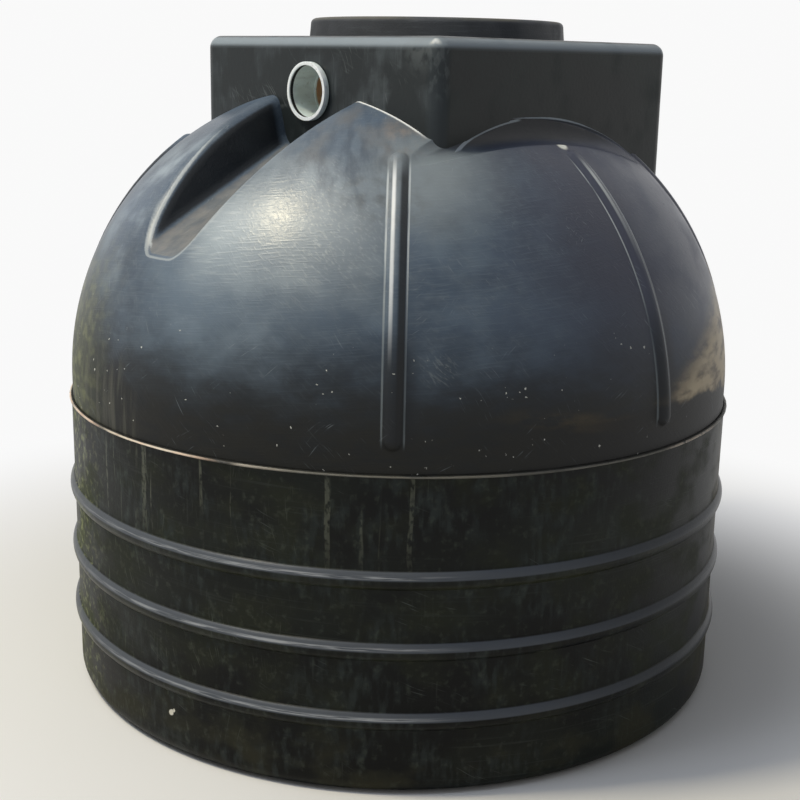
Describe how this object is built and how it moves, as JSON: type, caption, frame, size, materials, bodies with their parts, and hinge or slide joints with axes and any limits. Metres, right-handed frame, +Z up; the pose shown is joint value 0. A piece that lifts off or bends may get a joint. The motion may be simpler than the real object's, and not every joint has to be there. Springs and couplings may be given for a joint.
{
  "type": "septic tank",
  "caption": "Round ribbed underground septic tank with a ribbed dome, a square off-centre shaft with a low round cover, and pipe sockets in two opposite shaft faces.",
  "frame": {"origin": "on the tank's vertical axis, at its underside", "axes": "+Z up, +X from the inlet socket to the outlet socket"},
  "size_m": [1.572, 1.572, 1.518],
  "materials": {
    "black_polyethylene": "satin",
    "cover_polyethylene": "matte",
    "pale_pvc": "satin",
    "brown_pvc": "satin",
    "rubber": "matte"
  },
  "bodies": {
    "root": {"tank_floor": "black_polyethylene", "lower_wall_1": "black_polyethylene", "lower_wall_2": "black_polyethylene", "lower_wall_3": "black_polyethylene", "lower_wall_4": "black_polyethylene", "lower_wall_5": "black_polyethylene", "lower_wall_6": "black_polyethylene", "lower_wall_7": "black_polyethylene", "lower_wall_8": "black_polyethylene", "dome_inlet": "black_polyethylene", "dome_corner_1": "black_polyethylene", "dome_left": "black_polyethylene", "dome_corner_2": "black_polyethylene", "dome_outlet": "black_polyethylene", "dome_corner_3": "black_polyethylene", "dome_right": "black_polyethylene", "dome_corner_4": "black_polyethylene", "shaft_inlet_wall": "black_polyethylene", "shaft_left_wall": "black_polyethylene", "shaft_outlet_wall": "black_polyethylene", "shaft_right_wall": "black_polyethylene", "shaft_top": "black_polyethylene", "mould_seam": "black_polyethylene", "manhole_neck": "black_polyethylene", "manhole_cover": "cover_polyethylene", "inlet_socket": "pale_pvc", "inlet_seal": "rubber", "inlet_bend": "brown_pvc", "inlet_dip_pipe": "brown_pvc", "outlet_socket": "pale_pvc", "outlet_seal": "rubber", "outlet_bend": "brown_pvc", "outlet_dip_pipe": "brown_pvc"}
  },
  "joints": []
}
